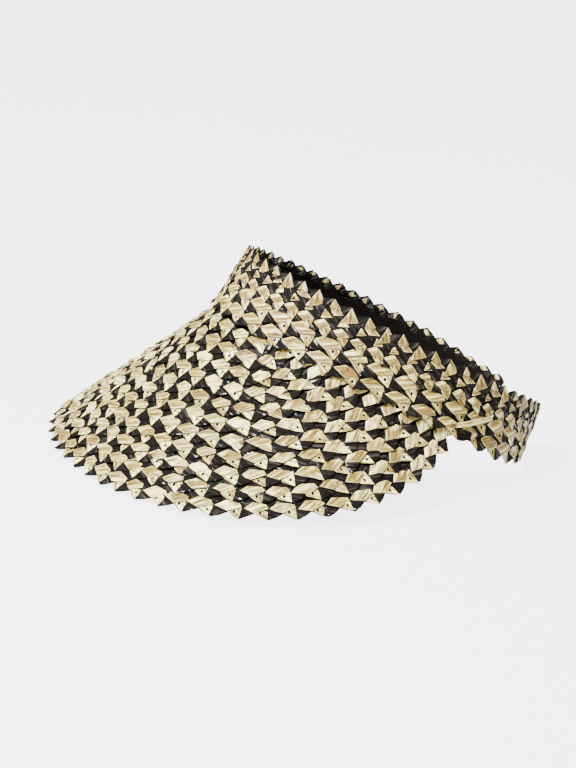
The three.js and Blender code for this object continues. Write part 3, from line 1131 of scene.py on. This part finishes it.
def cloth_material():
    """Black ribbed ribbon, with ribs square to its length."""
    made, tree = new_material("sweatband_cloth")
    strand = strand_places(tree)
    x, y, _ = add_node(tree, "ShaderNodeSeparateXYZ", {0: strand}).outputs
    ribs, threads = (
        math_node(tree, "SINE", math_node(tree, "MULTIPLY", place, 2 * math.pi / pitch))
        for place, pitch in ((y, RIB_PITCH), (x, THREAD_PITCH))
    )
    height = math_node(tree, "MULTIPLY_ADD", ribs, 0.7, math_node(tree, "MULTIPLY", threads, 0.3))
    fuzz = output(tree, "ShaderNodeTexNoise", {"Vector": strand, "Scale": 3.0, "Detail": 3.0})
    shader_values = {
        "Base Color": layered(tree, paint("sweatband"), [(fuzz, 0.35, 0.75, 1.0, paint("sweatband", 2.5))]),
        "Roughness": 0.9,
        "Specular IOR Level": 0.05,
        "Normal": bump(tree, height, 0.5, 0.0003),
    }
    shade_with(tree, shader_values)
    return made


def seen_brightness(tree, lit, seen):
    """One value for the light that the scene gets and another for what is looked at directly."""
    ray = add_node(tree, "ShaderNodeLightPath").outputs["Is Camera Ray"]
    return spread(tree, ray, 0.0, 1.0, lit, seen)


def floor_material(stage):
    made, tree = new_material("studio_floor")
    colour = (*stage.floor_colour, 1.0)
    darker = (*(share * FLOOR_GRAIN for share in stage.floor_colour), 1.0)
    place = output(tree, "ShaderNodeTexCoord", name="Object")
    grain = output(tree, "ShaderNodeTexNoise", {"Vector": place, "Scale": 3.0})
    base = mixed_colours(tree, grain, colour, darker)
    base = mixed_colours(tree, seen_brightness(tree, 0.0, FLOOR_FADE), base, (0, 0, 0, 1))
    shader_values = {
        "Base Color": base,
        "Roughness": 0.9,
        "Specular IOR Level": 0.1,
        "Emission Color": (1, 1, 1, 1),
        "Emission Strength": seen_brightness(tree, 0.0, stage.glow),
    }
    shade_with(tree, shader_values)
    return made


# Settings


def colour_setting(name, description, default):
    return FloatVectorProperty(name=name, description=description, subtype="COLOR", default=default)


def length_setting(name, description, default):
    return FloatProperty(name=name, description=description, unit="LENGTH", default=default)


def angle_setting(name, description, degrees):
    return FloatProperty(name=name, description=description, subtype="ANGLE", default=math.radians(degrees))


def power_setting(name, description, default):
    return FloatProperty(name=name, description=description, unit="POWER", default=default)


class VISOR_PG_colours(bpy.types.PropertyGroup):
    cream: colour_setting("Cream", "Most natural strands", (0.255, 0.19, 0.042))
    # The lightest strands, also used for painted highlights: lighter fibre bands and rims inside plate
    # borders
    pale_and_highlight: colour_setting("Pale", "The lightest strands", (0.82, 0.72, 0.27))
    tan: colour_setting("Tan", "Golden strands and stains", (0.165, 0.099, 0.014))
    rose: colour_setting("Rose", "The few pinkish strands", (0.20, 0.122, 0.026))
    dyed: colour_setting("Dyed", "Strands dyed black", (0.0014, 0.0011, 0.0008))
    # Dark fibre lines and cut edges of the natural strands, and painted shade in their creases and in the
    # gaps between plates
    grain_and_shade: colour_setting("Groove", "Creases and cut edges of natural strands", (0.006, 0.005, 0.004))
    # Painted glints along the black strands' fibres and creases, in part wear of the dye
    wear_and_glint: colour_setting("Worn", "Worn streaks of the black strands", (0.028, 0.024, 0.02))
    sweatband: colour_setting("Sweatband", "Cloth inside the band", (0.0009, 0.0007, 0.0005))


class VISOR_PG_plait(bpy.types.PropertyGroup):
    looseness: length_setting("Looseness", "How far a plate may lie from its place", 0.00035)
    twist: angle_setting("Twist", "How far a plate may turn", 3.5)
    wander: length_setting("Wander", "How far the teeth drift along and across a row", 0.0009)
    lean: angle_setting("Lean", "How far a plate may lean out of its row", 8.0)
    seed: IntProperty(name="Seed", description="Start of the random draws", default=11)


class VISOR_PG_stage(bpy.types.PropertyGroup):
    azimuth: angle_setting("Azimuth", "Camera's angle round the visor", 65.09)
    elevation: angle_setting("Elevation", "Camera's angle above the floor", 15.51)
    roll: angle_setting("Roll", "Camera's roll", 4.51)
    distance: length_setting("Distance", "Camera to the crown ring's centre", 2.6)
    lens: FloatProperty(name="Lens", description="Focal length", default=207.97, unit="CAMERA")
    aside: length_setting("Aside", "Shift of the aim to the camera's left", 0.0722)
    below: length_setting("Below", "Shift of the aim below the ring's centre", 0.0325)
    floor_colour: colour_setting("Floor", "Colour of the floor", (0.86, 0.86, 0.86))
    key_power: power_setting("Key", "Power of the main light, in watts", 190.0)
    fill_power: power_setting("Fill", "Power of the fill light, in watts", 11.0)
    fill_colour: colour_setting("Fill Colour", "Colour of the fill light", (1.0, 0.78, 0.56))
    sky: FloatProperty(name="Sky", description="Strength of the even light from all round", default=0.24)
    backdrop: FloatProperty(name="Backdrop", description="Brightness seen behind the visor", default=4.6)
    glow: FloatProperty(name="Glow", description="Brightness added to the floor as it is seen", default=4.1)


# Stage


def direction(azimuth, elevation):
    """The way from the visor to a place round it: the azimuth is counted from its front."""
    level = math.cos(elevation)
    return Vector((math.sin(azimuth) * level, -math.cos(azimuth) * level, math.sin(elevation)))


def add_floor(stage):
    corners = [(x * FLOOR_HALF, y * FLOOR_HALF, 0) for x, y in ((-1, -1), (1, -1), (1, 1), (-1, 1))]
    floor = new_object("floor", corners, [(0, 1, 2, 3)])
    floor.data.materials.append(floor_material(stage))


def add_camera(stage):
    centre = Vector(REST_SHIFT) * MM
    right = Vector((math.cos(stage.azimuth), math.sin(stage.azimuth), 0))
    back = direction(stage.azimuth, stage.elevation)
    up = back.cross(right)
    rolled_right = right * math.cos(stage.roll) + up * math.sin(stage.roll)
    rolled_up = up * math.cos(stage.roll) - right * math.sin(stage.roll)
    place = centre + back * stage.distance
    aim = centre - rolled_right * stage.aside - rolled_up * stage.below
    backward = (place - aim).normalized()
    level = rolled_up.cross(backward).normalized()
    axes = (level, backward.cross(level), backward, place)
    camera = linked("camera", bpy.data.cameras.new("camera"))
    camera.matrix_world = Matrix([[axis[i] for axis in axes] for i in range(3)] + [[0, 0, 0, 1]])
    camera.data.lens = stage.lens
    camera.data.sensor_width = SENSOR_WIDTH
    camera.data.clip_end = CLIP_END
    bpy.context.scene.camera = camera


def add_light(stage, light, watts, colour=(1, 1, 1)):
    made = linked(light.name, bpy.data.lights.new(light.name, "AREA"))
    made.data.energy = watts
    made.data.size = light.size
    made.data.color = colour
    back = direction(stage.azimuth + math.radians(light.turn), math.radians(light.elevation))
    made.location = back * light.distance
    made.rotation_mode = "QUATERNION"
    made.rotation_quaternion = back.to_track_quat("Z", "Y")


def add_sky(stage):
    world = bpy.data.worlds.new("studio")
    world.use_nodes = True
    background = world.node_tree.nodes["Background"].inputs
    background["Color"].default_value = (1, 1, 1, 1)
    strength = seen_brightness(world.node_tree, stage.sky, stage.backdrop)
    world.node_tree.links.new(strength, background["Strength"])
    bpy.context.scene.world = world


# Operators


class VISOR_OT_crown_rows(bpy.types.Operator):
    """Makes the three plait rows of the crown band"""

    bl_idname = "visor.crown_rows"
    bl_label = "Crown rows"

    def execute(self, context):
        top_width = CROWN_ROWS[0].bottom - CROWN_ROWS[0].top
        plates = (WIDE_PLATES, NARROW_PLATES)
        tops = unit_kinds("unit_top", TOP_UNIT_PITCH, top_width, plates, INNER_TOOTH_PLATES)
        teeth = unit_kinds("unit_crown", TOOTH_UNIT_PITCH, BRIM_ROW_WIDTH, (TOOTH_PLATES,), UNDER_PLATES)
        for number, row in enumerate(CROWN_ROWS, 1):
            guide = crown_guide(row)
            width = row.bottom - row.top
            stations = len(guide.places[0])
            lower = (tooth_wave(stations, 0) * row.tooth + BACKING_INSET) / width
            upper = 1 - (tooth_wave(stations, 0.5) * row.top_tooth + BACKING_INSET) / width
            backing = strip_object("backing", guide, lower, upper, GUIDE_LIFT - BACKING, GUIDE_LIFT)
            if number > 1:
                backing = with_rib(backing, guide, np.ones(stations))
            if number == len(CROWN_ROWS):
                backing = with_loose_strands(with_seam(backing, guide, row))
            units, mixed = (tops, False) if row.top_tooth else (teeth, True)
            name, node, seed = f"crown_plait_{number}", f"crown_row_{number}", SEED_STEP * number
            plait_row(name, node, guide, units, mixed, width, 0.0, backing, CROWN_SHADE, seed)
        return {"FINISHED"}


class VISOR_OT_brim_rows(bpy.types.Operator):
    """Makes the eleven plait rows of the brim"""

    bl_idname = "visor.brim_rows"
    bl_label = "Brim rows"

    def execute(self, context):
        width = BRIM_ROW_WIDTH
        teeth = unit_kinds("unit_brim", TOOTH_UNIT_PITCH, width, (TOOTH_PLATES,), UNDER_PLATES)
        for number, guide in enumerate(brim_guides(), 1):
            lower = (tooth_wave(len(guide.places[0]), 0) * TOOTH_DEPTH + BACKING_INSET) / width
            upper = np.maximum(backing_top(guide), lower + LEAST_BACKING)
            backing = strip_object("backing", guide, lower, upper, GUIDE_LIFT - BACKING, GUIDE_LIFT)
            if number > 1:
                backing = with_rib(backing, guide, upper)
            name, node, seed = f"brim_plait_{number}", f"brim_row_{number}", BRIM_SEED + SEED_STEP * number
            plait_row(name, node, guide, teeth, True, width, BRIM_TRIM_LINE, backing, 0.0, seed)
        return {"FINISHED"}


class VISOR_OT_sweatband(bpy.types.Operator):
    """Makes the black sweatband inside the crown"""

    bl_idname = "visor.sweatband"
    bl_label = "Sweatband"

    def execute(self, context):
        phi = even_angles(SWEATBAND_END_ANGLE, 4 * SWEATBAND_FACETS)
        downs = [lerp(SWEATBAND_BOTTOM, SWEATBAND_TOP, share) for share in ACROSS]
        guide = Guide([np.stack([phi, tapered(phi, down)], -1) for down in downs], [0, 0, 0], 1)
        low, high = -SWEATBAND_GAP - SWEATBAND_WALL, -SWEATBAND_GAP
        bottom, top = np.zeros(len(phi)), np.ones(len(phi))
        piece = strip_object("sweatband_cloth", guide, bottom, top, low, high, SWEATBAND_ACROSS)
        piece.data.materials.append(cloth_material())
        seated(piece, "sweatband")
        return {"FINISHED"}


class VISOR_OT_stage(bpy.types.Operator):
    """Makes the floor, the lights and the camera"""

    bl_idname = "visor.stage"
    bl_label = "Stage"

    def execute(self, context):
        stage = context.scene.visor_stage
        add_floor(stage)
        add_camera(stage)
        add_light(stage, KEY_LIGHT, stage.key_power)
        add_light(stage, FILL_LIGHT, stage.fill_power, stage.fill_colour)
        add_sky(stage)
        return {"FINISHED"}


class VISOR_PT_sidebar(bpy.types.Panel):
    """Lists the visor's operators and settings"""

    bl_idname = "VISOR_PT_sidebar"
    bl_label = "Straw Visor"
    bl_space_type = "VIEW_3D"
    bl_region_type = "UI"
    bl_category = "Visor"

    def draw(self, context):
        for operator in OPERATORS:
            self.layout.operator(operator.bl_idname)
        for group in (context.scene.visor_colours, context.scene.visor_plait, context.scene.visor_stage):
            box = self.layout.box()
            for name in group.__annotations__:
                box.prop(group, name)


OPERATORS = (VISOR_OT_crown_rows, VISOR_OT_brim_rows, VISOR_OT_sweatband, VISOR_OT_stage)
GROUPS = {"visor_colours": VISOR_PG_colours, "visor_plait": VISOR_PG_plait, "visor_stage": VISOR_PG_stage}
CLASSES = (*GROUPS.values(), *OPERATORS, VISOR_PT_sidebar)


def register():
    for cls in CLASSES:
        bpy.utils.register_class(cls)
    for name, group in GROUPS.items():
        setattr(bpy.types.Scene, name, PointerProperty(type=group))


def unregister():
    for name in GROUPS:
        delattr(bpy.types.Scene, name)
    for cls in reversed(CLASSES):
        bpy.utils.unregister_class(cls)


def remove_units():
    """Removes the units that the rows were laid from."""
    for made in [o for o in bpy.data.objects if "unit_pitch" in o]:
        bpy.data.objects.remove(made)


def main():
    register()
    bpy.ops.visor.crown_rows()
    bpy.ops.visor.brim_rows()
    bpy.ops.visor.sweatband()
    bpy.ops.visor.stage()
    remove_units()


if __name__ == "__main__":
    main()
